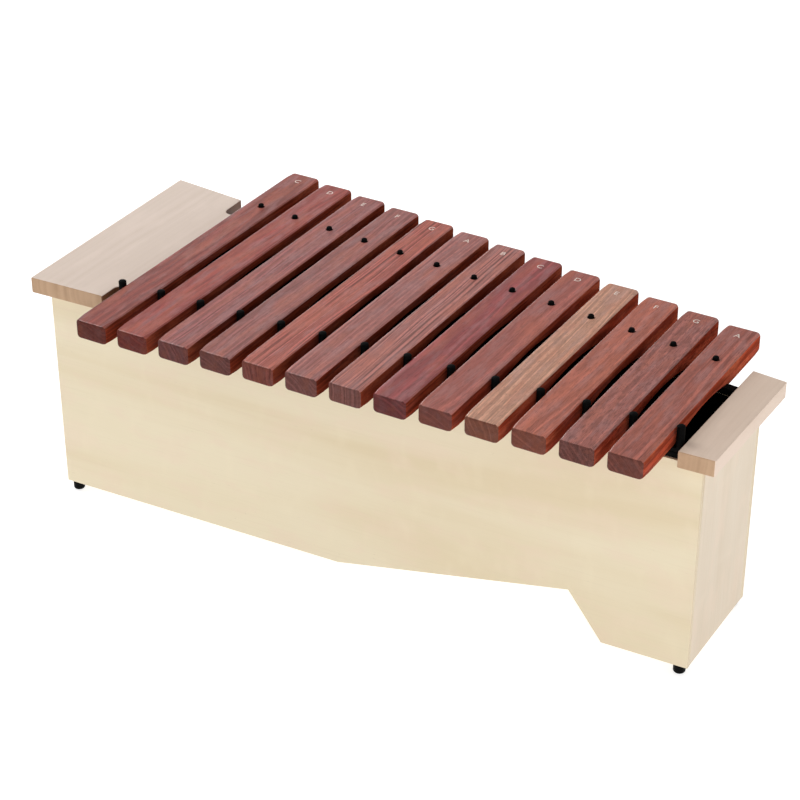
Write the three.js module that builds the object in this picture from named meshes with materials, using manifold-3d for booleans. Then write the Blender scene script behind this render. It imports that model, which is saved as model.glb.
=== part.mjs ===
// Diatonic alto xylophone: thirteen rosewood bars, two octaves less a step from c to a, lie across a
// tapered plywood resonator box that is open on top. Millimetres, +Z up, +X to the player's right.
// The box is laid out from its own front left corner; the exported group then moves the whole
// instrument so that its origin is under the middle of its bounding box, on the floor.

import * as THREE from 'three';
import { mergeVertices } from 'three/addons/utils/BufferGeometryUtils.js';
import Module from 'manifold-3d';

const wasm = await Module();
wasm.setup();

// ---- driving dimensions -------------------------------------------------------------------------
const GAP = 0.3;                 // clearance between pieces that touch
const PAST = 20;                 // how far a cutting solid reaches past what it cuts

const BOX_LENGTH = 720;          // outside, left end to right end
const BOX_HEIGHT = 230;          // bottom edge of the long walls to their top edge
const LEFT_DEPTH = 248;          // outside, front to back at the low-note end
const FRONT_TAPER = 34;          // how far the front wall runs back over the whole length
const BACK_TAPER = 76;           // how far the back wall runs forward over the whole length
const WALL = 12;                 // plywood of the four walls and of the partition
const RABBET = 6;                // step cut in the long walls that the end panels sit in
const FLOOR = 9;                 // plywood of the floor boards

const SLOPE_START = 336;         // the bottom edge starts to rise here,
const SLOPE_END = 593;           // stops rising here, SLOPE_RISE above the feet level,
const SLOPE_RISE = 51;
const LEG_START = 630;           // and drops back to the bottom of the right leg here

const FOOT_HEIGHT = 10;
const FOOT_RADIUS = 6.2;
const FOOT_FLAT = 4;             // radius of the flat that touches the floor
const FOOT_ROUND = 3;            // height of the round edge above that flat
const FOOT_END_INSET = 10;       // foot axis from the end of the box
const FOOT_WALL_INSET = 6;       // and from the long wall's outer face, under the wall's middle

const BOARD_THICKNESS = 17.5;    // left top board and right cap
const BOARD_LEFT = -18.7;        // left top board, from its left side
const BOARD_RIGHT = 70;          // to its right side where it covers the long walls
const TONGUE_RIGHT = 82;         // between the walls it reaches further, to this side
const TONGUE_SETBACK = 9;        // the tongue starts this far inside each long wall
const TONGUE_FILLET = 8;
const PARTITION_SETBACK = 4;     // the partition stands this far in from the tongue's edge
const BOARD_FRONT_OVERHANG = 7;
const CAP_LEFT = 698.7;
const CAP_RIGHT = 735;
const CAP_FRONT_OVERHANG = 12.3;
const BOARD_BACK_OVERHANG = 15.2;
const CAP_BACK_OVERHANG = 17;
const SIDE_LEAN = 0.014;         // both boards widen a little towards the back

const NOTES = ['c', 'd', 'e', 'f', 'g', 'a', 'b', 'c', 'd', 'e', 'f', 'g', 'a'];
const BAR_PITCH = 46.66;
const BAR_WIDTH = 36;
const BAR_THICKNESS = 20;
const FIRST_BAR_LEFT = 92.2;     // left side of bar 1
const FIRST_BAR_FRONT = -76.2;   // front and back ends of bar 1
const FIRST_BAR_BACK = 321.8;
const LAST_BAR_FRONT = -31.7;    // front and back ends of bar 13
const LAST_BAR_BACK = 242.4;
const BAR_CORNER = 4;            // rounded corners, seen from above
const BAR_HOLE_RADIUS = 3.8;
const ARCH_START = 0.28;         // the underside is hollowed from this share of the length to the
const FIRST_ARCH = 11;           // same share from the other end, this deep on bar 1
const LAST_ARCH = 9;             // and this deep on bar 13
const ARCH_FULLNESS = 0.7;       // power of the sine that shapes the hollow: under 1 is fuller
const ARCH_STEPS = 8;

const FELT_THICKNESS = 6;
const FRONT_FELT_INSET = 2.5;    // outer edge of each felt strip from the outer face of its wall
const BACK_FELT_INSET = 0.5;
const FELT_INNER_EDGE = 11.7;    // inner edge of both strips from the same face
const PEG_INSET = 6;             // peg axis from the outer face of its wall
const STEM_RADIUS = 2;
const STEM_DEPTH = 18;           // stem in the wall
const FRONT_PEG_RADIUS = 4;      // stands between two bars
const REAR_PEG_RADIUS = 3;       // stands in a bar's hole
const PEG_ABOVE_BAR = 3.5;
const PEG_DOME = 1.6;            // height of the rounded top
const SHOULDER_HEIGHT = 4.3;     // moulded block that the bars rest on
const SHOULDER_DEPTH = 8;
const SHOULDER_REACH = 8.5;      // to each side of the peg that holds a bar up
const END_SHOULDER_REACH = 4;    // outer side of the first and last front pegs

// ---- derived places -----------------------------------------------------------------------------
const floorZ = FOOT_HEIGHT;                                   // underside of the box
const wallTop = floorZ + BOX_HEIGHT;
const feltTop = wallTop + GAP + FELT_THICKNESS;
const shoulderTop = feltTop + GAP + SHOULDER_HEIGHT;
const barBottom = shoulderTop + GAP;
const barTop = barBottom + BAR_THICKNESS;
const frontY = (x) => (FRONT_TAPER * x) / BOX_LENGTH;
const backY = (x) => LEFT_DEPTH - (BACK_TAPER * x) / BOX_LENGTH;
const barCount = NOTES.length;
const along = (first, last, i) => first + ((last - first) * i) / (barCount - 1);

// ---- materials ----------------------------------------------------------------------------------
const birch = new THREE.MeshStandardMaterial({ color: 0xe3d2b1, roughness: 0.55, metalness: 0 });
const beech = new THREE.MeshStandardMaterial({ color: 0xd8c4ae, roughness: 0.5, metalness: 0 });
const rubber = new THREE.MeshStandardMaterial({ color: 0x121212, roughness: 0.75, metalness: 0 });
const felt = new THREE.MeshStandardMaterial({ color: 0x0d0d0d, roughness: 0.95, metalness: 0 });
const rosewood = (i) => new THREE.MeshStandardMaterial({
  color: new THREE.Color(0x93504a).offsetHSL(0.006 * Math.sin(2.4 * i), 0, 0.03 * Math.sin(1.7 * i)),
  roughness: 0.45,
  metalness: 0,
});

// ---- solids -------------------------------------------------------------------------------------
function toSolid(geometry) {
  const bare = geometry.index ? geometry.clone() : geometry;
  bare.deleteAttribute('normal');
  bare.deleteAttribute('uv');
  const merged = mergeVertices(bare, 1e-4);
  return new wasm.Manifold(new wasm.Mesh({
    numProp: 3,
    vertProperties: new Float32Array(merged.attributes.position.array),
    triVerts: new Uint32Array(merged.index.array),
  }));
}

function toGeometry(solid) {
  const mesh = solid.getMesh();
  const geometry = new THREE.BufferGeometry();
  geometry.setAttribute('position', new THREE.BufferAttribute(new Float32Array(mesh.vertProperties), 3));
  geometry.setIndex(new THREE.BufferAttribute(new Uint32Array(mesh.triVerts), 1));
  geometry.computeVertexNormals();
  return geometry;
}

const shapeOf = (points) => new THREE.Shape(points.map(([a, b]) => new THREE.Vector2(a, b)));

// A plan outline in X and Y, between two heights.
function standing(points, z0, z1) {
  const geometry = new THREE.ExtrudeGeometry(shapeOf(points), { depth: z1 - z0, bevelEnabled: false });
  geometry.translate(0, 0, z0);
  return toSolid(geometry);
}

// A side outline in X and Z, between two places along Y.
function crosswise(points, y0, y1) {
  const geometry = new THREE.ExtrudeGeometry(shapeOf(points), { depth: y1 - y0, bevelEnabled: false });
  geometry.rotateX(Math.PI / 2);
  geometry.translate(0, y1, 0);
  return toSolid(geometry);
}

// A side outline in Y and Z, between two places along X.
function lengthwise(points, x0, x1) {
  const geometry = new THREE.ExtrudeGeometry(shapeOf(points), { depth: x1 - x0, bevelEnabled: false });
  geometry.rotateX(Math.PI / 2);
  geometry.rotateZ(Math.PI / 2);
  geometry.translate(x0, 0, 0);
  return toSolid(geometry);
}

function upright(radius, x, y, z0, z1, sides = 8) {
  const geometry = new THREE.CylinderGeometry(radius, radius, z1 - z0, sides);
  geometry.rotateX(Math.PI / 2);
  geometry.translate(x, y, (z0 + z1) / 2);
  return toSolid(geometry);
}

// A turned piece: a profile of radius and height, about a vertical axis at (x, y).
function turned(profile, x, y, sides) {
  const geometry = new THREE.LatheGeometry(profile.map(([r, z]) => new THREE.Vector2(r, z)), sides);
  geometry.rotateX(Math.PI / 2);
  geometry.translate(x, y, 0);
  return toSolid(geometry);
}

function block(x0, x1, y0, y1, z0, z1) {
  const geometry = new THREE.BoxGeometry(x1 - x0, y1 - y0, z1 - z0);
  geometry.translate((x0 + x1) / 2, (y0 + y1) / 2, (z0 + z1) / 2);
  return toSolid(geometry);
}

// Points of a round corner about (cx, cy), from one angle to another in quarter turns.
function arc(cx, cy, radius, from, to, steps) {
  const points = [];
  for (let k = 0; k <= steps; k += 1) {
    const angle = ((from + ((to - from) * k) / steps) * Math.PI) / 2;
    points.push([cx + radius * Math.cos(angle), cy + radius * Math.sin(angle)]);
  }
  return points;
}

const instrument = new THREE.Group();

function place(name, solid, material) {
  const mesh = new THREE.Mesh(toGeometry(solid), material);
  mesh.name = name;
  instrument.add(mesh);
}

// ---- where the pegs stand -----------------------------------------------------------------------
const bars = NOTES.map((note, i) => {
  const left = FIRST_BAR_LEFT + i * BAR_PITCH;
  const centre = left + BAR_WIDTH / 2;
  return {
    name: `bar_${String(i + 1).padStart(2, '0')}_${note}`,
    left,
    centre,
    front: along(FIRST_BAR_FRONT, LAST_BAR_FRONT, i),
    back: along(FIRST_BAR_BACK, LAST_BAR_BACK, i),
    arch: along(FIRST_ARCH, LAST_ARCH, i),
    pegY: backY(centre) - PEG_INSET,
  };
});
const rearPegs = bars.map((bar) => [bar.centre, bar.pegY]);
const frontPegs = Array.from({ length: barCount + 1 }, (_, i) => {
  const x = FIRST_BAR_LEFT + i * BAR_PITCH - (BAR_PITCH - BAR_WIDTH) / 2;
  return [x, frontY(x) + PEG_INSET];
});

// ---- long walls ---------------------------------------------------------------------------------
// One outline for both: level, a gentle rise under the high notes, then a steep drop to the leg.
const wallOutline = [
  [0, floorZ], [SLOPE_START, floorZ], [SLOPE_END, floorZ + SLOPE_RISE], [LEG_START, floorZ],
  [BOX_LENGTH, floorZ], [BOX_LENGTH, wallTop], [0, wallTop],
];

// Plan of a long wall, thinner at both ends where the end panels sit in their rabbets.
function wallPlan(outer, inward) {
  const at = (x, depth) => [x, outer(x) + inward * depth];
  const points = [
    at(0, 0), at(BOX_LENGTH, 0), at(BOX_LENGTH, RABBET), at(BOX_LENGTH - WALL, RABBET),
    at(BOX_LENGTH - WALL, WALL), at(WALL, WALL), at(WALL, RABBET), at(0, RABBET),
  ];
  return inward > 0 ? points : points.reverse();
}

function longWall(name, outer, inward, pegs) {
  let wall = crosswise(wallOutline, -PAST, LEFT_DEPTH + PAST)
    .intersect(standing(wallPlan(outer, inward), 0, wallTop + PAST));
  for (const [x, y] of pegs) {
    wall = wall.subtract(upright(STEM_RADIUS + GAP, x, y, wallTop - STEM_DEPTH - GAP, wallTop + PAST));
  }
  place(name, wall, birch);
}

longWall('front_panel', frontY, 1, frontPegs);
longWall('back_panel', backY, -1, rearPegs);

// ---- end panels, partition and floor ------------------------------------------------------------
// A board that fills the box from wall to wall: side outline in X and Z, kept inset from each face.
function crossBoard(name, outline, inset) {
  const xs = outline.map(([x]) => x);
  const [x0, x1] = [Math.min(...xs) - PAST, Math.max(...xs) + PAST];
  const plan = [
    [x0, frontY(x0) + inset], [x1, frontY(x1) + inset], [x1, backY(x1) - inset], [x0, backY(x0) - inset],
  ];
  const board = crosswise(outline, -PAST, LEFT_DEPTH + PAST).intersect(standing(plan, 0, wallTop + PAST));
  place(name, board, birch);
}

const sheetOutline = (x0, x1, z0, z1) => [[x0, z0], [x1, z0], [x1, z1], [x0, z1]];

crossBoard('left_end_panel', sheetOutline(0, WALL - GAP, floorZ, wallTop), RABBET + GAP);
crossBoard('right_end_panel',
  sheetOutline(BOX_LENGTH - WALL + GAP, BOX_LENGTH, floorZ, wallTop), RABBET + GAP);

// The floor boards follow the bottom edge of the walls. Each joint is a mitre of its own slope.
const rise = SLOPE_RISE / (SLOPE_END - SLOPE_START);
const drop = SLOPE_RISE / (LEG_START - SLOPE_END);
const bottomFlatEnd = SLOPE_START - GAP;
const insideLeft = WALL;
const insideRight = BOX_LENGTH - WALL;
const thick = (slope) => FLOOR * Math.hypot(1, slope);        // height of a sloped board's edge

const slopeAt = (x) => floorZ + (x - SLOPE_START) * rise;
const dropAt = (x) => floorZ + SLOPE_RISE - (x - SLOPE_END) * drop;
// The riser's upper face meets the sloped board's upper face here.
const ridgeX = SLOPE_END + (thick(drop) - thick(rise)) / (rise + drop);

crossBoard('bottom_board', [
  [insideLeft, floorZ], [bottomFlatEnd, floorZ], [bottomFlatEnd, floorZ + FLOOR],
  [insideLeft, floorZ + FLOOR],
], WALL + GAP);
crossBoard('sloped_board', [
  [SLOPE_START, floorZ], [SLOPE_END - GAP, slopeAt(SLOPE_END - GAP)],
  [ridgeX - GAP, slopeAt(ridgeX - GAP) + thick(rise)], [SLOPE_START, floorZ + thick(rise)],
], WALL + GAP);
crossBoard('leg_riser', [
  [SLOPE_END, dropAt(SLOPE_END)], [LEG_START, floorZ],
  [LEG_START + FLOOR / drop, floorZ + FLOOR], [ridgeX, slopeAt(ridgeX) + thick(rise)],
], WALL + GAP);
crossBoard('leg_bottom', [
  [LEG_START + GAP, floorZ], [insideRight, floorZ], [insideRight, floorZ + FLOOR],
  [LEG_START + FLOOR / drop + GAP, floorZ + FLOOR],
], WALL + GAP);

// The partition closes the sounding chamber under the inner edge of the left top board.
const partitionRight = TONGUE_RIGHT - PARTITION_SETBACK;
crossBoard('partition',
  sheetOutline(partitionRight - WALL, partitionRight, floorZ + FLOOR + GAP, wallTop - GAP), WALL + GAP);

// ---- boards on top of the walls -----------------------------------------------------------------
const boardBottom = wallTop + GAP;
const boardTop = boardBottom + BOARD_THICKNESS;

function leftBoardPlan() {
  const frontEdge = (x) => frontY(x) - BOARD_FRONT_OVERHANG;
  const backEdge = (x) => backY(x) + BOARD_BACK_OVERHANG;
  const side = (x, y) => [x - SIDE_LEAN * y, y];
  const tongueFront = frontY(BOARD_RIGHT) + WALL + TONGUE_SETBACK;
  const tongueBack = backY(BOARD_RIGHT) - WALL - TONGUE_SETBACK;
  const r = TONGUE_FILLET;
  const [frontX] = side(BOARD_RIGHT, tongueFront);
  const [backX] = side(BOARD_RIGHT, tongueBack);
  return [
    side(BOARD_LEFT, frontEdge(BOARD_LEFT)),
    side(BOARD_RIGHT, frontEdge(BOARD_RIGHT)),
    ...arc(frontX + r, tongueFront - r, r, 2, 1, 4),
    [TONGUE_RIGHT, tongueFront],
    [TONGUE_RIGHT, tongueBack],
    ...arc(backX + r, tongueBack + r, r, 3, 2, 4),
    side(BOARD_RIGHT, backEdge(BOARD_RIGHT)),
    side(BOARD_LEFT, backEdge(BOARD_LEFT)),
  ];
}

function capPlan() {
  const corner = (x, y) => [x + SIDE_LEAN * y, y];
  return [
    corner(CAP_LEFT, frontY(CAP_LEFT) - CAP_FRONT_OVERHANG),
    corner(CAP_RIGHT, frontY(CAP_RIGHT) - CAP_FRONT_OVERHANG),
    corner(CAP_RIGHT, backY(CAP_RIGHT) + CAP_BACK_OVERHANG),
    corner(CAP_LEFT, backY(CAP_LEFT) + CAP_BACK_OVERHANG),
  ];
}

place('left_top_board', standing(leftBoardPlan(), boardBottom, boardTop), beech);
place('right_cap', standing(capPlan(), boardBottom, boardTop), beech);

// ---- felt strips on the wall tops, pierced for the pegs -----------------------------------------
function feltStrip(name, outer, inward, inset, pegs) {
  const x0 = BOARD_RIGHT + GAP;
  const x1 = CAP_LEFT - GAP;
  const outerEdge = inward * inset;
  const innerEdge = inward * FELT_INNER_EDGE;
  const [a, b] = inward > 0 ? [outerEdge, innerEdge] : [innerEdge, outerEdge];
  const plan = [
    [x0, outer(x0) + a], [x1, outer(x1) + a], [x1, outer(x1) + b], [x0, outer(x0) + b],
  ];
  let strip = standing(plan, wallTop + GAP, feltTop);
  for (const [x, y] of pegs) {
    strip = strip.subtract(upright(STEM_RADIUS + GAP, x, y, wallTop - PAST, feltTop + PAST));
  }
  place(name, strip, felt);
}

feltStrip('front_felt_strip', frontY, 1, FRONT_FELT_INSET, frontPegs);
feltStrip('back_felt_strip', backY, -1, BACK_FELT_INSET, rearPegs);

// ---- moulded pegs: stem in the wall, shoulder under the bars, pin up past them -------------------
function peg(name, [x, y], radius, reachLeft = SHOULDER_REACH, reachRight = SHOULDER_REACH) {
  const half = SHOULDER_DEPTH / 2;
  const top = barTop + PEG_ABOVE_BAR;
  const middle = (feltTop + GAP + shoulderTop) / 2;
  const shoulder = block(x - reachLeft, x + reachRight, y - half, y + half, feltTop + GAP, shoulderTop);
  const pin = turned([
    [0, wallTop - STEM_DEPTH], [STEM_RADIUS, wallTop - STEM_DEPTH], [STEM_RADIUS, middle],
    [radius, middle], ...arc(0, 0, 1, 0, 1, 2).map(([r, z]) => [radius * r, top - PEG_DOME * (1 - z)]),
  ], x, y, 8);
  place(name, shoulder.add(pin), rubber);
}

frontPegs.forEach((spot, i) => {
  const reachLeft = i === 0 ? END_SHOULDER_REACH : SHOULDER_REACH;
  const reachRight = i === barCount ? END_SHOULDER_REACH : SHOULDER_REACH;
  peg(`front_peg_${i + 1}`, spot, FRONT_PEG_RADIUS, reachLeft, reachRight);
});
rearPegs.forEach((spot, i) => peg(`rear_peg_${i + 1}`, spot, REAR_PEG_RADIUS));

// ---- bars ---------------------------------------------------------------------------------------
// Side view of a bar with its hollowed underside, from the front end to the back end.
function barSide({ front, back, arch }) {
  const start = front + (back - front) * ARCH_START;
  const span = (back - front) * (1 - 2 * ARCH_START);
  const hollow = [];
  for (let k = 0; k <= ARCH_STEPS; k += 1) {
    const t = k / ARCH_STEPS;
    hollow.push([start + span * t, barBottom + arch * Math.sin(Math.PI * t) ** ARCH_FULLNESS]);
  }
  return [[front, barBottom], ...hollow, [back, barBottom], [back, barTop], [front, barTop]];
}

function barPlan({ left, front, back }) {
  const r = BAR_CORNER;
  const right = left + BAR_WIDTH;
  return [
    ...arc(right - r, front + r, r, 3, 4, 2),
    ...arc(right - r, back - r, r, 0, 1, 2),
    ...arc(left + r, back - r, r, 1, 2, 2),
    ...arc(left + r, front + r, r, 2, 3, 2),
  ];
}

bars.forEach((bar, i) => {
  const solid = lengthwise(barSide(bar), bar.left - PAST, bar.left + BAR_WIDTH + PAST)
    .intersect(standing(barPlan(bar), barBottom - PAST, barTop + PAST))
    .subtract(upright(BAR_HOLE_RADIUS, bar.centre, bar.pegY, barBottom - PAST, barTop + PAST, 12));
  place(bar.name, solid, rosewood(i));
});

// ---- rubber feet --------------------------------------------------------------------------------
function foot(name, x, y) {
  const edge = arc(0, 0, 1, 3, 4, 3)
    .map(([r, z]) => [FOOT_FLAT + (FOOT_RADIUS - FOOT_FLAT) * r, FOOT_ROUND * (1 + z)]);
  place(name, turned([
    [0, 0], ...edge, [FOOT_RADIUS, FOOT_HEIGHT - GAP], [0, FOOT_HEIGHT - GAP],
  ], x, y, 16), rubber);
}

const footLeft = FOOT_END_INSET;
const footRight = BOX_LENGTH - FOOT_END_INSET;
foot('foot_front_left', footLeft, frontY(footLeft) + FOOT_WALL_INSET);
foot('foot_front_right', footRight, frontY(footRight) + FOOT_WALL_INSET);
foot('foot_back_left', footLeft, backY(footLeft) - FOOT_WALL_INSET);
foot('foot_back_right', footRight, backY(footRight) - FOOT_WALL_INSET);

// ---- origin under the middle of the whole instrument --------------------------------------------
const bounds = new THREE.Box3().setFromObject(instrument);
const middle = bounds.getCenter(new THREE.Vector3());
instrument.position.set(-middle.x, -middle.y, -bounds.min.z);
instrument.updateMatrixWorld(true);

export default instrument;
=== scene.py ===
"""Looks of a diatonic alto xylophone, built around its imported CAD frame. Metres, +Z up.

The bars, pegs and feet are new meshes, made in the places that the frame gives. The boards of the
box and the felt strips are cleaned copies of their CAD solids with eased edges. Every piece carries a
"grain" attribute: its own coordinates along, across and through the wood, which all patterns read.
"""

import math

import bmesh
import bpy
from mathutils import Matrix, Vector


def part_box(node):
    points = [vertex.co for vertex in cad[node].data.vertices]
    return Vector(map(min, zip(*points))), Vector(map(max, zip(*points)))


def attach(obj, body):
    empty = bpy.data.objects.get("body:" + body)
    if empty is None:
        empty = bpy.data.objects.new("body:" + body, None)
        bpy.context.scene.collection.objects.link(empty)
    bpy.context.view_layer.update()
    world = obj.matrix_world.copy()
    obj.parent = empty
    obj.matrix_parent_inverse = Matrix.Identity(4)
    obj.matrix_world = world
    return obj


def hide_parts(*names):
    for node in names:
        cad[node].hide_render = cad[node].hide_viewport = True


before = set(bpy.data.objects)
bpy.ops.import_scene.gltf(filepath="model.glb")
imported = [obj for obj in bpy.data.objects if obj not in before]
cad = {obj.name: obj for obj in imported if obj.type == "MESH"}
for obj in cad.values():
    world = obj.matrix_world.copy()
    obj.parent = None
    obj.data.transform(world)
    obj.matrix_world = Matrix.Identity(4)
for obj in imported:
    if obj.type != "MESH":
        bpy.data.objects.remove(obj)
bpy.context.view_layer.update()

MM = 0.001
scene = bpy.context.scene

# ---- camera and light ------------------------------------------------------------------------------
AIM = Vector((-0.0084, -0.0019, 0.1546))
AZIMUTH = math.radians(30.374)
ELEVATION = math.radians(30.861)
DISTANCE = 2.27               # metres
LENS = 99.13                  # millimetres
SENSOR = 36

WHITE = (1, 1, 1, 1)
WORLD_STRENGTH = 0.52
LIGHTS = (                    # name, place, size across, watts
    ("key", (-1.9, 0.3, 2.1), 1.8, 34),
    ("front_fill", (1.7, -2.2, 0.9), 1.4, 16),
    ("right_fill", (2.6, -0.3, 0.4), 1.0, 3.6),
    ("rim", (-1.7, 2.0, 0.75), 0.9, 4),
)
FLOOR_GLOW = 0.71
FLOOR_COLOUR = (0.60, 0.60, 0.60, 1)
FLOOR_SIZE = 40               # metres across


def backwards(azimuth, elevation):
    """The direction from what a camera looks at back to the camera."""
    return Vector((math.sin(azimuth) * math.cos(elevation), -math.cos(azimuth) * math.cos(elevation),
                   math.sin(elevation)))


def linked(name, data):
    made = bpy.data.objects.new(name, data)
    scene.collection.objects.link(made)
    return made


def add_camera():
    data = bpy.data.cameras.new("camera")
    data.lens = LENS
    data.sensor_width = SENSOR
    camera = linked("camera", data)
    back = backwards(AZIMUTH, ELEVATION)
    camera.location = AIM + back * DISTANCE
    camera.rotation_euler = (-back).to_track_quat("-Z", "Y").to_euler()
    scene.camera = camera


def add_light():
    world = bpy.data.worlds.new("studio")
    world.use_nodes = True
    background = world.node_tree.nodes["Background"]
    background.inputs["Color"].default_value = WHITE
    background.inputs["Strength"].default_value = WORLD_STRENGTH
    scene.world = world
    for name, place, size, watts in LIGHTS:
        data = bpy.data.lights.new(name, "AREA")
        data.shape = "DISK"
        data.size = size
        data.energy = watts
        lamp = linked(name, data)
        lamp.location = place
        lamp.rotation_euler = (AIM - lamp.location).to_track_quat("-Z", "Y").to_euler()


def set_colour_management():
    scene.view_settings.view_transform = "Standard"
    scene.view_settings.look = "None"
    scene.view_settings.exposure = 0
    scene.view_settings.gamma = 1


# ---- small node-tree helpers -----------------------------------------------------------------------
def linear(hex_colour):
    """A linear colour from an sRGB hex number."""
    shares = [((hex_colour >> shift) & 255) / 255 for shift in (16, 8, 0)]
    return tuple(s / 12.92 if s <= 0.04045 else ((s + 0.055) / 1.055) ** 2.4 for s in shares) + (1,)


class Tree:
    """A new material whose nodes are added one by one. Its surface is one Principled shader, and the
    other arguments are values for that shader's sockets, with underscores for the spaces."""

    def __init__(self, name, roughness, **sockets):
        self.material = bpy.data.materials.new(name)
        self.material.use_nodes = True
        self.nodes = self.material.node_tree.nodes
        self.shader = self.nodes["Principled BSDF"]
        self.shader.inputs["Roughness"].default_value = roughness
        for socket, value in sockets.items():
            self.shader.inputs[socket.replace("_", " ")].default_value = value

    def add(self, kind, inputs=None, **settings):
        node = self.nodes.new("ShaderNode" + kind)
        for name, value in settings.items():
            setattr(node, name, value)
        for socket, value in (inputs or {}).items():
            self.put(node.inputs[socket], value)
        return node

    def put(self, socket, value):
        if isinstance(value, bpy.types.NodeSocket):
            self.material.node_tree.links.new(value, socket)
        else:
            socket.default_value = value

    def grain(self, scale, shift=(0, 0, 0)):
        """The piece's grain coordinates, in metres, times a scale for each axis."""
        source = self.add("Attribute", attribute_name="grain").outputs["Vector"]
        mapping = self.add("Mapping", {"Vector": source, "Scale": scale, "Location": shift})
        return mapping.outputs["Vector"]

    def noise(self, vector, detail=2.0, roughness=0.5, distortion=0.0):
        node = self.add("TexNoise", {"Vector": vector, "Scale": 1.0, "Detail": detail,
                                     "Roughness": roughness, "Distortion": distortion})
        return node.outputs["Fac"]

    def maths(self, operation, a, b):
        return self.add("Math", {0: a, 1: b}, operation=operation).outputs[0]

    def ranged(self, value, low, high, to_low=0.0, to_high=1.0):
        """The value from low to high, remapped smoothly and kept between the two results."""
        node = self.add("MapRange", {"Value": value, "From Min": low, "From Max": high, "To Min": to_low,
                                     "To Max": to_high}, interpolation_type="SMOOTHSTEP")
        return node.outputs["Result"]

    def mixed(self, factor, a, b):
        """A colour from a to b. The Mix node's colour sockets are its inputs 6 and 7 and its output 2."""
        node = self.add("Mix", {0: factor, 6: a, 7: b}, data_type="RGBA")
        return node.outputs[2]

    def ramp(self, factor, stops):
        node = self.add("ValToRGB", {"Fac": factor})
        elements = node.color_ramp.elements
        while len(elements) < len(stops):
            elements.new(0.5)
        for element, (place, colour) in zip(elements, stops):
            element.position = place
            element.color = colour
        return node.outputs["Color"]

    def bump(self, height, strength, distance):
        node = self.add("Bump", {"Height": height, "Strength": strength, "Distance": distance})
        self.put(self.shader.inputs["Normal"], node.outputs["Normal"])

    def colour(self, value):
        self.put(self.shader.inputs["Base Color"], value)

    def rough(self, pattern, low, high):
        """Roughness between two values, following a pattern about its middle."""
        self.put(self.shader.inputs["Roughness"], self.ranged(pattern, 0.3, 0.7, low, high))

    def growth_rings(self, sway_size, sway, per_metre, detail, roughness):
        """A pattern of rings about the log's heart, whose distance sways along the log."""
        waver = self.noise(self.grain(sway_size), detail=2)
        heart = self.add("VectorMath", {0: self.grain((0, 1, 1))}, operation="LENGTH").outputs["Value"]
        ring = self.maths("ADD", heart, self.maths("MULTIPLY", waver, sway))
        node = self.add("TexNoise", {"W": self.maths("MULTIPLY", ring, per_metre), "Scale": 1.0,
                                     "Detail": detail, "Roughness": roughness}, noise_dimensions="1D")
        return node.outputs["Fac"]


# ---- materials -------------------------------------------------------------------------------------
DULL_PATCH = 0xA2888A
EMBER_PATCH = 0xBC6A4C
PINK_PATCH = 0xEBD3BC


def shade(hex_colour, factor):
    """A linear colour from an sRGB hex number, made lighter or darker."""
    r, g, b, a = linear(hex_colour)
    return (r * factor, g * factor, b * factor, a)


def halfway(one, other):
    """The mean of two linear colours."""
    return tuple((a + b) / 2 for a, b in zip(one, other))


def rosewood(name, tone, streaks, mottle, level=1.0, greying=0.55, roughness=0.46, specular=0.28):
    """Oiled rosewood: growth rings about the log's heart, dark streaks, open pores and soft mottling.
    The level is how light it all is. The greying is how strong its dull patches are."""
    tree = Tree(name, roughness=roughness, Specular_IOR_Level=specular)
    rings = tree.growth_rings((3.0, 14, 14), 0.022, 330, 3.0, 0.62)
    colour = tree.ramp(tree.ranged(rings, 0.28, 0.72), [
        (0.0, shade(tone, 1.42 * level)), (0.45, shade(tone, level)),
        (1.0, shade(tone, (1 - 0.72 * streaks) * level))])
    lines = tree.noise(tree.grain((2.6, 520, 300)), detail=3, roughness=0.65)
    dark_lines = tree.ranged(lines, 0.54, 0.70, 0.0, 0.85 * streaks)
    colour = tree.mixed(dark_lines, colour, shade(tone, 0.28 * level))
    lighter = shade(tone, 1.15 * level)
    greys = tree.noise(tree.grain((26, 110, 110), (5, 8, 3)), detail=3)
    grey = halfway(lighter, shade(DULL_PATCH, level))
    colour = tree.mixed(tree.ranged(greys, 0.44, 0.66, 0.0, greying), colour, grey)
    embers = tree.noise(tree.grain((15, 85, 85), (7, 5, 1)), detail=3)
    ember = halfway(lighter, shade(EMBER_PATCH, level))
    colour = tree.mixed(tree.ranged(embers, 0.46, 0.68, 0.0, 0.60), colour, ember)
    clouds = tree.noise(tree.grain((60, 240, 240), (3, 1, 2)), detail=3, roughness=0.65)
    cloudy = tree.ranged(clouds, 0.44, 0.64, 0.0, 0.16 + 0.50 * mottle)
    colour = tree.mixed(cloudy, colour, shade(tone, 0.50 * level))
    pits = tree.ranged(tree.noise(tree.grain((130, 1500, 1500)), detail=1), 0.56, 0.66)
    pitted = tree.maths("MULTIPLY", pits, 0.30 + 0.45 * mottle)
    colour = tree.mixed(pitted, colour, shade(tone, 0.30 * level))
    tree.colour(colour)
    tree.rough(lines, roughness - 0.06, roughness + 0.1)
    tree.bump(tree.maths("SUBTRACT", tree.maths("MULTIPLY", lines, 0.35), pits), 0.35, 0.00012)
    return tree.material


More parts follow.
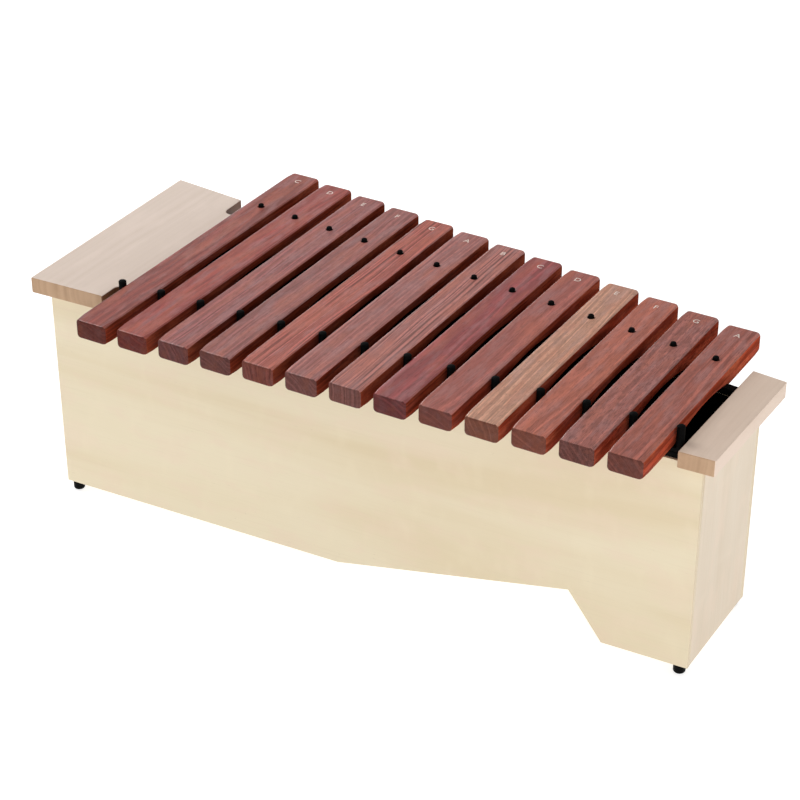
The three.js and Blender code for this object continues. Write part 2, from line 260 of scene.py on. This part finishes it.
def birch_face(name, tone, deep):
    """Clear-lacquered birch veneer: broad soft figure, fine darker lines, faint pink and pale patches
    and a few short dark flecks."""
    tree = Tree(name, roughness=0.46, Specular_IOR_Level=0.38)
    broad = tree.noise(tree.grain((1.6, 12, 6)), detail=3, roughness=0.5, distortion=0.8)
    colour = tree.mixed(tree.ranged(broad, 0.34, 0.72), linear(tone), linear(deep))
    fine = tree.noise(tree.grain((9, 460, 300)), detail=2, roughness=0.6)
    colour = tree.mixed(tree.ranged(fine, 0.48, 0.80, 0.0, 0.14), colour, shade(deep, 0.86))
    pink = tree.noise(tree.grain((14, 30, 20), (4, 6, 2)), detail=3, roughness=0.6)
    colour = tree.mixed(tree.ranged(pink, 0.46, 0.66, 0.0, 0.32), colour, shade(PINK_PATCH, 0.98))
    shimmer = tree.noise(tree.grain((42, 22, 30), (2, 4, 1)), detail=2)
    colour = tree.mixed(tree.ranged(shimmer, 0.50, 0.78, 0.0, 0.22), colour, shade(tone, 1.07))
    specks = tree.noise(tree.grain((170, 1300, 900), (1, 3, 5)), detail=1)
    sparse = tree.noise(tree.grain((22, 70, 50), (9, 2, 4)), detail=2)
    flecks = tree.maths("MULTIPLY", tree.ranged(specks, 0.70, 0.80), tree.ranged(sparse, 0.54, 0.66))
    colour = tree.mixed(tree.maths("MULTIPLY", flecks, 0.38), colour, shade(deep, 0.42))
    tree.colour(colour)
    tree.rough(fine, 0.40, 0.52)
    tree.bump(fine, 0.16, 0.00008)
    return tree.material


def plywood_edge(name, tone, deep, ply):
    """A cut edge of plywood: plies of long and end grain by turns, with thin dark glue lines."""
    tree = Tree(name, roughness=0.62, Specular_IOR_Level=0.3)
    through = tree.add("SeparateXYZ", {0: tree.grain((1, 1, 1 / ply))}).outputs[2]
    wander = tree.noise(tree.grain((16, 16, 0)), detail=1)
    layer = tree.maths("ADD", through, tree.maths("MULTIPLY", wander, 0.3))
    turn = tree.maths("PINGPONG", layer, 1.0)
    colour = tree.mixed(tree.ranged(turn, 0.44, 0.56), linear(tone), linear(deep))
    glue = tree.ranged(tree.maths("PINGPONG", tree.maths("ADD", layer, 0.5), 0.5), 0.0, 0.09, 0.55, 0.0)
    colour = tree.mixed(glue, colour, shade(deep, 0.42))
    fibres = tree.noise(tree.grain((420, 900, 900)), detail=3, roughness=0.7)
    colour = tree.mixed(tree.ranged(fibres, 0.48, 0.76, 0.0, 0.40), colour, shade(deep, 0.66))
    tree.colour(colour)
    tree.bump(fibres, 0.30, 0.00012)
    return tree.material


def solid_board(name, tone, deep, end_grain=False):
    """Close-grained solid wood under clear lacquer. The rings show more sharply on its end grain."""
    tree = Tree(name, roughness=0.48, Specular_IOR_Level=0.36)
    rings = tree.growth_rings((1.6, 9, 9), 0.05, 130, 2.0, 0.5)
    softness = 0.30 if end_grain else 0.60
    colour = tree.mixed(tree.ranged(rings, 0.5 - softness, 0.5 + softness), linear(tone), linear(deep))
    blotches = tree.noise(tree.grain((12, 42, 42), (6, 2, 9)), detail=3, roughness=0.55)
    colour = tree.mixed(tree.ranged(blotches, 0.44, 0.70, 0.0, 0.45), colour, shade(tone, 1.07))
    rays = tree.noise(tree.grain((130, 1500, 1500)), detail=1)
    colour = tree.mixed(tree.ranged(rays, 0.60, 0.74, 0.0, 0.14), colour, shade(deep, 0.72))
    fine = tree.noise(tree.grain((8, 620, 620)), detail=2, roughness=0.6)
    colour = tree.mixed(tree.ranged(fine, 0.50, 0.80, 0.0, 0.12), colour, shade(deep, 0.85))
    tree.colour(colour)
    tree.bump(fine, 0.2, 0.00008)
    return tree.material


def inside_shade_black(name):
    """Painted shade: near-black, dull and a little uneven, for the deep shade inside the box."""
    tree = Tree(name, roughness=0.9, Specular_IOR_Level=0.05)
    brush = tree.noise(tree.grain((9, 240, 240)), detail=3, roughness=0.6)
    tree.colour(tree.mixed(tree.ranged(brush, 0.35, 0.75), linear(0x060505), linear(0x0E0C0B)))
    tree.bump(brush, 0.3, 0.0001)
    return tree.material


def rubber(name, roughness):
    """Moulded black rubber with a fine satin skin."""
    tree = Tree(name, roughness=roughness, Specular_IOR_Level=0.05)
    skin = tree.noise(tree.grain((2400, 2400, 2400)), detail=2)
    patches = tree.noise(tree.grain((160, 160, 160)), detail=2)
    tree.colour(tree.mixed(tree.ranged(patches, 0.3, 0.7), linear(0x030303), linear(0x0A0A0A)))
    tree.rough(patches, roughness - 0.08, roughness + 0.08)
    tree.bump(skin, 0.25, 0.00006)
    return tree.material


def felt(name):
    """Black wool felt: matted fibres with a faint sheen."""
    tree = Tree(name, roughness=0.95, Specular_IOR_Level=0.04, Sheen_Weight=0.06, Sheen_Roughness=0.5)
    mat = tree.noise(tree.grain((900, 900, 900)), detail=4, roughness=0.75, distortion=1.5)
    tree.colour(tree.mixed(tree.ranged(mat, 0.35, 0.65), linear(0x040404), linear(0x100F0F)))
    tree.bump(mat, 0.8, 0.0005)
    return tree.material


def note_paint(name):
    """Cream letter paint, a little thin over the pores of the wood."""
    tree = Tree(name, roughness=0.5)
    cover = tree.noise(tree.grain((900, 900, 900)), detail=2)
    tree.colour(tree.mixed(tree.ranged(cover, 0.52, 0.72, 0.0, 0.6), linear(0xEBDDD2), linear(0xB9968A)))
    return tree.material


# ---- meshes ----------------------------------------------------------------------------------------
X, Y, Z = Vector((1, 0, 0)), Vector((0, 1, 0)), Vector((0, 0, 1))
SHARP_ANGLE = math.radians(42)     # edges that turn more are drawn sharp
FLAT_ANGLE = math.radians(0.5)     # faces that turn less are one flat face
WELD = 1e-6                        # metres: points closer than this are one point
ON_AXIS = 1e-9                     # metres: a radius below this is none
BEVEL_STEPS = 3
FLAT_WEIGHT = 80                   # how strongly large flat faces pull the shading of their edges


def finished(name, bm, materials):
    """A mesh object from a bmesh, shaded smooth over its eased edges and flat on its flats."""
    bmesh.ops.recalc_face_normals(bm, faces=bm.faces)
    mesh = bpy.data.meshes.new(name)
    bm.to_mesh(mesh)
    bm.free()
    for material in materials:
        mesh.materials.append(material)
    mesh.polygons.foreach_set("use_smooth", [True] * len(mesh.polygons))
    mesh.set_sharp_from_angle(angle=SHARP_ANGLE)
    piece = linked(name, mesh)
    flats = piece.modifiers.new("flats", "WEIGHTED_NORMAL")
    flats.keep_sharp = True
    flats.weight = FLAT_WEIGHT
    return piece


def set_grain(piece, along, across, through, origin):
    """Writes the coordinates that the patterns read: three axes from one origin, in metres."""
    mesh = piece.data
    attribute = mesh.attributes.new("grain", "FLOAT_VECTOR", "POINT")
    values = []
    for vertex in mesh.vertices:
        place = vertex.co - origin
        values += [place.dot(along), place.dot(across), place.dot(through)]
    attribute.data.foreach_set("vector", values)


def turned(profile, segments):
    """A solid of revolution about Z. The profile of radius and height starts and ends on the axis."""
    bm = bmesh.new()
    rings = []
    for radius, z in profile:
        if radius < ON_AXIS:
            rings.append([bm.verts.new((0, 0, z))])
            continue
        turns = [math.tau * k / segments for k in range(segments)]
        rings.append([bm.verts.new((radius * math.cos(t), radius * math.sin(t), z)) for t in turns])
    for low, high in zip(rings, rings[1:]):
        for k in range(segments):
            around = ((low, k), (low, k + 1), (high, k + 1), (high, k))
            corners = [ring[place % len(ring)] for ring, place in around]
            bm.faces.new(list(dict.fromkeys(corners)))
    return bm


def bend(centre, radius, start, end, steps):
    """Points of a round edge, from one angle to another, in quarter turns."""
    angles = [(start + (end - start) * k / steps) * math.pi / 2 for k in range(steps + 1)]
    return [(centre[0] + radius * math.cos(a), centre[1] + radius * math.sin(a)) for a in angles]


def combined(name, target, other, operation):
    """A new object, the target joined with the other or cut by it. Both are removed."""
    modifier = target.modifiers.new("combine", "BOOLEAN")
    modifier.operation = operation
    modifier.object = other
    modifier.solver = "EXACT"
    target.modifiers.move(len(target.modifiers) - 1, 0)
    target.modifiers.remove(target.modifiers["flats"])
    graph = bpy.context.evaluated_depsgraph_get()
    mesh = bpy.data.meshes.new_from_object(target.evaluated_get(graph))
    bm = bmesh.new()
    bm.from_mesh(mesh)
    bmesh.ops.remove_doubles(bm, verts=bm.verts, dist=WELD)
    materials = list(target.data.materials)
    for gone in (target, other):
        bpy.data.objects.remove(gone)
    bpy.data.meshes.remove(mesh)
    return finished(name, bm, materials)


def show(piece, node, body):
    """Puts a piece on its body, in the place of its CAD node, which it hides."""
    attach(piece, body)
    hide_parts(node)


# ---- bars ------------------------------------------------------------------------------------------
BAR_EDGE = 1.8 * MM           # eased edges along a bar
END_EDGE = 2.2 * MM           # eased edges above and below each end
BAR_CORNER = 4.0 * MM         # round corners, seen from above
WORN_EDGE = 3.4 * MM          # the edges along a bar as they are at its ends
WORN_FADE = 10 * MM           # length past the round corners over which that wear fades out
ARCH_SHARE = 0.28             # the hollow underside starts this share of the length from each end
ARCH_FULLNESS = 0.7           # below 1 the hollow deepens faster from its ends
ARCH_STATIONS = 30
END_STATIONS = (0, 0.07, 0.28, 0.65, 1.2, 1.8, 2.4, 3.2, 4, 8, 14)     # millimetres from a bar's end
HOLE_RADIUS = 3.75 * MM
HOLE_CHAMFER = 0.5 * MM
HOLE_SEGMENTS = 40
CUT_PAST = 2 * MM             # how far the hole cutter passes the bar's top and underside
LOG_SPACING = 0.731           # metres along the log from bar to bar, so that no two look alike
END_LEVEL = 0.36              # how light the end grain is beside the top
END_TONES = {"bar_10_e": 0xB26D57}     # a bar whose end grain has another tone than its top
# Painted shade: the sides and underside of every bar share this darker, redder tone, for the shade in the
# gaps between the bars
SHADED_SIDE_TONE = 0x77301F
SAWN = 0.4                    # a face's share of the Y direction from which it is end grain
TOP_FACING = 0.97             # upward share from which a face belongs to the flat top
EDGE_FACING = 0.45            # and from which it belongs to the eased edges of the top
LETTER_SIZE = 10.0 * MM
LETTER_FROM_END = 18.5 * MM
LETTER_DEPTH = 0.06 * MM
LETTER_STEPS = 6
TOP, SAWN_END, SIDE, RUBBED_EDGE = range(4)    # places of a bar's four materials

# For each bar: its tone, how strong its dark streaks are, how mottled it is, how far the log's heart
# lies to the left of its middle and below its top, in metres, and how light its sides are painted
# beside the shaded side tone, as painted shade for how much light reaches each bar's sides between its
# neighbours. A bar whose heart lies far to the left and little below has straight lines on top.
BAR_WOOD = (
    (0x8E453C, 0.30, 0.25, 0.030, 0.110, 0.95),
    (0x98443C, 0.30, 0.15, 0.060, 0.120, 0.90),
    (0x9A5A56, 0.45, 0.25, 0.085, 0.050, 0.64),
    (0x9A5E58, 0.35, 0.25, 0.050, 0.100, 0.72),
    (0xB06054, 0.85, 0.20, 0.120, 0.020, 0.78),
    (0xA66861, 0.40, 0.25, 0.070, 0.080, 0.80),
    (0xB27269, 0.95, 0.15, 0.140, 0.015, 0.80),
    (0x974C4B, 0.25, 0.15, 0.030, 0.090, 0.97),
    (0xA55F55, 0.20, 0.15, 0.045, 0.125, 1.25),
    (0xC8957D, 0.34, 0.30, 0.110, 0.060, 1.45),
    (0xB66A58, 0.45, 0.25, 0.020, 0.075, 1.45),
    (0xA5655B, 0.30, 0.80, 0.090, 0.090, 1.55),
    (0xA66053, 0.40, 0.25, 0.055, 0.065, 1.75),
)


def rounding(distance, radius):
    """How far a round edge of that radius still falls short, at a distance from where it starts."""
    short = max(0.0, radius - distance)
    return radius - math.sqrt(radius * radius - short * short)


def cross_section(y, middle, half, low, high, edge):
    """Points round a bar at one place along it, with four eased edges."""
    points = []
    for x, z, start in ((half - edge, high - edge, 0), (edge - half, high - edge, 1),
                        (edge - half, low + edge, 2), (half - edge, low + edge, 3)):
        points += [(middle + u, y, v) for u, v in bend((x, z), edge, start, start + 1, BEVEL_STEPS)]
    return points


def arch_span(front, back):
    """Where the hollow underside starts along Y, and how long it is."""
    return front + (back - front) * ARCH_SHARE, (back - front) * (1 - 2 * ARCH_SHARE)


def bar_stations(front, back):
    """The places along a bar that its shape is drawn at, closest where it curves most."""
    ends = [mm * MM for mm in END_STATIONS]
    start, span = arch_span(front, back)
    shares = [(1 - math.cos(math.pi * k / ARCH_STATIONS)) / 2 for k in range(ARCH_STATIONS + 1)]
    arch = [start + span * share for share in shares]
    return [front + d for d in ends] + arch + [back - d for d in reversed(ends)]


def bar_mesh(node, materials):
    """A bar without its hole, in the box of its CAD node and with the same depth of hollow."""
    low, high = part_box(node)
    middle, half = (low.x + high.x) / 2, (high.x - low.x) / 2
    under = [v.co.z for v in cad[node].data.vertices if v.co.z < high.z - MM]
    depth = max(under) - low.z
    start, span = arch_span(low.y, high.y)
    bm = bmesh.new()
    rings = []
    for y in bar_stations(low.y, high.y):
        from_end = min(y - low.y, high.y - y)
        share = min(1.0, max(0.0, (y - start) / span))
        rise = depth * math.sin(math.pi * share) ** ARCH_FULLNESS if 0 < share < 1 else 0.0
        worn = min(1.0, max(0.0, 1 - (from_end - BAR_CORNER) / WORN_FADE))
        edge = BAR_EDGE + (WORN_EDGE - BAR_EDGE) * worn
        points = cross_section(y, middle, half - rounding(from_end, BAR_CORNER),
                               low.z + rise + rounding(from_end, END_EDGE),
                               high.z - rounding(from_end, END_EDGE), edge)
        rings.append([bm.verts.new(p) for p in points])
    for a, b in zip(rings, rings[1:]):
        for k in range(len(a)):
            bm.faces.new((a[k], a[(k + 1) % len(a)], b[(k + 1) % len(b)], b[k]))
    bm.faces.new(rings[0])
    bm.faces.new(rings[-1])
    return finished(node + "_blank", bm, materials)


def hole_cutter(x, y, low, high):
    """A pin with flared ends, which cuts a hole with a chamfer at its top and bottom."""
    wide = HOLE_RADIUS + HOLE_CHAMFER + CUT_PAST
    bm = turned([(0, low - CUT_PAST), (wide, low - CUT_PAST), (HOLE_RADIUS, low + HOLE_CHAMFER),
                 (HOLE_RADIUS, high - HOLE_CHAMFER), (wide, high + CUT_PAST), (0, high + CUT_PAST)],
                HOLE_SEGMENTS)
    bmesh.ops.translate(bm, verts=bm.verts, vec=(x, y, 0))
    return finished("hole_cutter", bm, [])


def mark_sawn_faces(piece, low, high):
    """Gives each face its material. The underside takes the painted-shade material of the sides, and the
    eased edges of the top, rubbed smoother, have one of their own."""
    for face in piece.data.polygons:
        near_end = min(face.center.y - low.y, high.y - face.center.y) < BAR_CORNER
        if near_end and abs(face.normal.y) > SAWN:
            face.material_index = SAWN_END
        elif face.normal.z > TOP_FACING:
            face.material_index = TOP
        else:
            face.material_index = RUBBED_EDGE if face.normal.z > EDGE_FACING else SIDE


def add_letter(node, note, paint):
    """The note's letter, painted on the back end of a bar's top. It rides on the bar."""
    low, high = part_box(node)
    curve = bpy.data.curves.new(node + "_letter", "FONT")
    curve.body = note
    curve.size = LETTER_SIZE
    curve.align_x = "CENTER"
    curve.align_y = "CENTER"
    curve.extrude = LETTER_DEPTH / 2
    curve.resolution_u = LETTER_STEPS
    text = linked("letter_source", curve)
    graph = bpy.context.evaluated_depsgraph_get()
    mesh = bpy.data.meshes.new_from_object(text.evaluated_get(graph))
    bpy.data.objects.remove(text)
    for vertex in mesh.vertices:
        vertex.co += Vector(((low.x + high.x) / 2, high.y - LETTER_FROM_END, high.z + LETTER_DEPTH / 2))
    mesh.materials.clear()
    mesh.materials.append(paint)
    letter = linked(node + "_letter", mesh)
    set_grain(letter, Y, X, Z, Vector())
    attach(letter, node)


def bar_woods(node, tone, streaks, mottle, side_shade_level):
    """A bar's four materials, in the order of their places."""
    end_tone = END_TONES.get(node, tone)
    return [
        rosewood(node + "_rosewood", tone, streaks, mottle),
        rosewood(node + "_end_grain", end_tone, streaks / 2, mottle, level=END_LEVEL, greying=0.3,
                 roughness=0.8, specular=0.2),
        # The sides' material is painted shade: the shaded side tone at this bar's own level
        rosewood(node + "_painted_shade_side", SHADED_SIDE_TONE, 0.4, mottle, level=side_shade_level, greying=0.1,
                 roughness=0.7, specular=0.0),
        rosewood(node + "_edge", tone, streaks, mottle, roughness=0.16, specular=0.5),
    ]


def add_bars():
    paint = note_paint("note_paint")
    names = sorted(n for n in cad if n.startswith("bar_"))
    for i, (node, (tone, streaks, mottle, across, below, side)) in enumerate(zip(names, BAR_WOOD)):
        low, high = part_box(node)
        peg_low, peg_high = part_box(f"rear_peg_{i + 1}")
        hole_x, hole_y = (peg_low.x + peg_high.x) / 2, (peg_low.y + peg_high.y) / 2
        blank = bar_mesh(node, bar_woods(node, tone, streaks, mottle, side))
        cutter = hole_cutter(hole_x, hole_y, low.z, high.z)
        piece = combined(node + "_wood", blank, cutter, "DIFFERENCE")
        mark_sawn_faces(piece, low, high)
        heart = Vector(((low.x + high.x) / 2 - across, low.y - LOG_SPACING * (i + 1), high.z - below))
        set_grain(piece, Y, X, Z, heart)
        show(piece, node, node)
        add_letter(node, node[-1].upper(), paint)


# ---- pegs and feet ---------------------------------------------------------------------------------
FRONT_PIN = 4.0 * MM          # radius, as for the next two
REAR_PIN = 3.0 * MM
STEM = 2.0 * MM
STEM_EDGE = 0.5 * MM          # round lower edge of a stem
PIN_DOME = 1.6 * MM           # height of a pin's domed tip
SHOULDER_GAP = 0.3 * MM       # clear of the felt below and the bar above
SHOULDER_EDGE = 1.0 * MM
PEG_SEGMENTS = 32
DOME_STEPS = 6
FOOT_EDGE = 2.6 * MM          # round lower edge of a foot
FOOT_RIM = 0.6 * MM           # and its upper edge, against the box
FOOT_SEGMENTS = 48
FOOT_STEPS = 8


def block(name, low, high, edge):
    """A box between two corners with round edges."""
    bm = bmesh.new()
    bmesh.ops.create_cube(bm, size=1)
    size, centre = high - low, (low + high) / 2
    for vertex in bm.verts:
        vertex.co = Vector([vertex.co[k] * size[k] + centre[k] for k in range(3)])
    bmesh.ops.bevel(bm, geom=bm.edges[:], offset=edge, segments=BEVEL_STEPS, profile=0.5, affect="EDGES")
    return finished(name, bm, [])


def add_peg(node, bar, felt_node, pin, axis_x, material):
    """A rubber peg: a stem in the wall, a square shoulder on the felt and a pin that holds the bars."""
    low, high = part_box(node)
    axis = Vector((axis_x, (low.y + high.y) / 2, 0))
    shoulder_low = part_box(felt_node)[1].z + SHOULDER_GAP
    shoulder_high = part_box(bar)[0].z - SHOULDER_GAP
    inside = (shoulder_low + shoulder_high) / 2
    dome = [(pin * r, high.z - PIN_DOME * (1 - z)) for r, z in bend((0, 0), 1, 0, 1, DOME_STEPS)]
    stem = [(0, low.z), (STEM - STEM_EDGE, low.z), (STEM, low.z + STEM_EDGE), (STEM, inside)]
    bm = turned([*stem, (pin, inside), *dome], PEG_SEGMENTS)
    bmesh.ops.translate(bm, verts=bm.verts, vec=axis)
    post = finished(node, bm, [material])
    corner, opposite = Vector((low.x, low.y, shoulder_low)), Vector((high.x, high.y, shoulder_high))
    shoulder = block("shoulder", corner, opposite, SHOULDER_EDGE)
    piece = combined(node + "_rubber", shoulder, post, "UNION")
    piece.data.materials.clear()
    piece.data.materials.append(material)
    set_grain(piece, Y, X, Z, Vector())
    show(piece, node, "box")


def add_pegs():
    """The outer front pegs have a shoulder on one side only, so their pins stand off its middle."""
    material = rubber("peg_rubber", 0.66)
    bars = sorted(n for n in cad if n.startswith("bar_"))
    second_low, second_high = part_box("front_peg_2")
    reach = (second_high.x - second_low.x) / 2
    for i in range(len(bars) + 1):
        node = f"front_peg_{i + 1}"
        low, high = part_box(node)
        axis_x = high.x - reach if i == 0 else low.x + reach
        add_peg(node, bars[0], "front_felt_strip", FRONT_PIN, axis_x, material)
    for i, bar in enumerate(bars):
        low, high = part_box(f"rear_peg_{i + 1}")
        add_peg(f"rear_peg_{i + 1}", bar, "back_felt_strip", REAR_PIN, (low.x + high.x) / 2, material)


def add_feet():
    material = rubber("foot_rubber", 0.38)
    for node in sorted(n for n in cad if n.startswith("foot_")):
        low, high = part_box(node)
        radius = (high.x - low.x) / 2
        edge = bend((radius - FOOT_EDGE, FOOT_EDGE), FOOT_EDGE, -1, 0, FOOT_STEPS)
        rim = bend((radius - FOOT_RIM, high.z - FOOT_RIM), FOOT_RIM, 0, 1, FOOT_STEPS // 2)
        bm = turned([(0, low.z), *edge, *rim, (0, high.z)], FOOT_SEGMENTS)
        centre = (low + high) / 2
        bmesh.ops.translate(bm, verts=bm.verts, vec=(centre.x, centre.y, 0))
        piece = finished(node + "_rubber", bm, [material])
        set_grain(piece, Y, X, Z, Vector())
        show(piece, node, "box")


# ---- boards and felt -------------------------------------------------------------------------------
BOARD_EASE = 1.0 * MM         # round edges of the solid boards
PANEL_EASE = 0.5 * MM         # and of the plywood
FELT_EDGE = 1.2 * MM
HOLE_RIM = 12 * MM            # shorter edges of a wall belong to its peg holes and stay sharp
PLY = 12 / 9 * MM             # nine plies in a 12 mm wall
FACING = 0.9                  # cosine: a face this much in line with a direction looks that way
CORNER_TURN = math.radians(25)     # edges that turn less are not corners
INWARD = 0.15                 # cosine: an eased edge this much inward, and this much upward, is painted near-black like the inside, as painted shade
UPWARD = 0.2                  # is finished like the inside
HEART_SWING = 0.13            # metres: the most that a log's heart lies to one side of a board
HEART_TURN = 9                # how fast that changes along the log
PLYWOOD_CUT = 0.9             # metres along the log: where the first plywood board was cut
TOP_CUT = 3.1                 # and the first top board
BOARD_END = 0.7               # a face's share of the Y direction from which it is end grain
NOTCH_FACING = 0.2            # a notch's faces look at least this much to the right
NOTCH_UPRIGHT = 0.3           # and at most this much up or down
NOTCH_MARGIN = 2 * MM         # they lie at least this far from the board's right side
OUTER, INNER, CUT_EDGE = range(3)              # places of a board's three materials
WOOD_FACE, WOOD_END, WOOD_NOTCH_SHADE = range(3)     # and of a top board's


def whole_faces(node):
    """The CAD solid as a bmesh with each flat face in one piece."""
    bm = bmesh.new()
    bm.from_mesh(cad[node].data)
    bmesh.ops.remove_doubles(bm, verts=bm.verts, dist=WELD)
    bmesh.ops.dissolve_limit(bm, angle_limit=FLAT_ANGLE, verts=bm.verts[:], edges=bm.edges[:])
    bm.normal_update()
    return bm


def eased(node, name, outward, along, materials, ease, shortest, cut, lowest=-1):
    """A board copied from its CAD solid. The first material goes on faces that look outward, the second
    on those that look inward, with the eased edges above them, and the third on its other edges. Edges
    lower than lowest or shorter than shortest stay sharp. The cut says where in the log it comes from."""
    bm = whole_faces(node)
    outward = Vector(outward).normalized()
    outer = max(bm.faces, key=lambda f: f.calc_area() if f.normal.dot(outward) > FACING else 0)
    through = -outer.normal.copy()
    origin = outer.calc_center_median().copy()
    along = Vector(along)
    along = (along - along.dot(through) * through).normalized()
    for face in bm.faces:
        facing = face.normal.dot(through)
        face.material_index = OUTER if facing < -FACING else INNER if facing > FACING else CUT_EDGE
    corners = [e for e in bm.edges if e.calc_length() > shortest and e.calc_face_angle(0) > CORNER_TURN
               and (e.verts[0].co.z + e.verts[1].co.z) / 2 > lowest]
    bmesh.ops.bevel(bm, geom=corners, offset=ease, segments=BEVEL_STEPS, profile=0.5, affect="EDGES",
                    clamp_overlap=True)
    bm.normal_update()
    for face in bm.faces:
        if INWARD < face.normal.dot(through) < FACING and face.normal.z > UPWARD:
            face.material_index = INNER
    piece = finished(name, bm, materials)
    aside = HEART_SWING * math.sin(cut * HEART_TURN)
    heart = origin - along * cut - along.cross(through) * aside
    set_grain(piece, along, through.cross(along), through, heart)
    return piece


def add_box():
    """Each row below is a board, roughly which way it faces outward and its grain runs, and what its
    outer face and its cut edges are finished with. Inner faces are painted near-black, as painted shade
    for the deep shade inside the box."""
    front = birch_face("birch_front", 0xE8DBBE, 0xE0CFAD)
    # The end panels' birch is a little pinker than the front's and, as painted shade, a little darker
    end = birch_face("birch_end_shaded", 0xE2D3BE, 0xD9C7AE)
    edge = plywood_edge("plywood_edge", 0xE9DCC4, 0xD9C4A2, PLY)
    # Painted shade: the inner faces, the eased edges above them and the partition are near-black
    black = inside_shade_black("inside_shade_black")
    boards = (
        ("front_panel", (0, -1, 0), (1, 0, 0), front, edge),
        ("back_panel", (0, 1, 0), (1, 0, 0), front, edge),
        ("left_end_panel", (-1, 0, 0), (0, 0, 1), end, edge),
        ("right_end_panel", (1, 0, 0), (0, 0, 1), end, edge),
        ("bottom_board", (0, 0, -1), (1, 0, 0), front, edge),
        ("sloped_board", (0.2, 0, -1), (1, 0, 0.2), front, edge),
        ("leg_riser", (-0.81, 0, -0.59), (0, 1, 0), front, edge),
        ("leg_bottom", (0, 0, -1), (0, 1, 0), front, edge),
        ("partition", (-1, 0, 0), (0, 1, 0), black, black),
    )
    for i, (node, outward, along, face, rim) in enumerate(boards):
        piece = eased(node, node + "_plywood", outward, along, [face, black, rim], PANEL_EASE, HOLE_RIM,
                      cut=PLYWOOD_CUT + i)
        show(piece, node, "box")


def mark_board_ends(piece, notch_right):
    """Edges of a solid board that look along Y are end grain. The round notches beside the pegs are the
    faces to the left of notch_right that look to the right, and have a darker material of their own,
    painted shade for the shade in the notches. The cap has none."""
    for face in piece.data.polygons:
        upright = abs(face.normal.z) < NOTCH_UPRIGHT
        notch = face.center.x < notch_right and face.normal.x > NOTCH_FACING and upright
        sawn = abs(face.normal.y) > BOARD_END
        face.material_index = WOOD_NOTCH_SHADE if notch else WOOD_END if sawn else WOOD_FACE


def add_top_boards():
    boards = (("left_top_board", 0xDDCBBE, 0xD5C2B2), ("right_cap", 0xE4CEBC, 0xDBC3AF))
    for i, (node, tone, deep) in enumerate(boards):
        faces = solid_board(node + "_wood_face", tone, deep)
        ends = solid_board(node + "_wood_end", 0xC09E7E, 0xB08E6E, end_grain=True)
        # Painted shade: the notches beside the pegs get a darker brown, for the shade in them
        notch = solid_board(node + "_wood_notch_shade", 0x7A5238, 0x6A452E, end_grain=True)
        piece = eased(node, node + "_wood", Z, Y, [faces, ends, notch], BOARD_EASE, 0, cut=TOP_CUT + 2 * i)
        low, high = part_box(node)
        mark_board_ends(piece, high.x - NOTCH_MARGIN if node == "left_top_board" else low.x)
        show(piece, node, "box")


def add_felt():
    material = felt("black_felt")
    for i, node in enumerate(("front_felt_strip", "back_felt_strip")):
        low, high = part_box(node)
        piece = eased(node, node + "_wool", Z, X, [material] * 3, FELT_EDGE, HOLE_RIM / 2, cut=i,
                      lowest=(low.z + high.z) / 2 + MM)
        show(piece, node, "box")


# ---- floor -----------------------------------------------------------------------------------------
def add_floor():
    """A white studio floor, which glows so that it shows pure white with almost no shadow."""
    tree = Tree("floor", roughness=0.9, Specular_IOR_Level=0.0, Base_Color=FLOOR_COLOUR,
                Emission_Color=WHITE, Emission_Strength=FLOOR_GLOW)
    bm = bmesh.new()
    bmesh.ops.create_grid(bm, x_segments=1, y_segments=1, size=FLOOR_SIZE / 2)
    mesh = bpy.data.meshes.new("floor")
    bm.to_mesh(mesh)
    bm.free()
    mesh.materials.append(tree.material)
    linked("floor", mesh)


add_camera()
add_light()
set_colour_management()
add_floor()
add_box()
add_top_boards()
add_felt()
add_feet()
add_pegs()
add_bars()
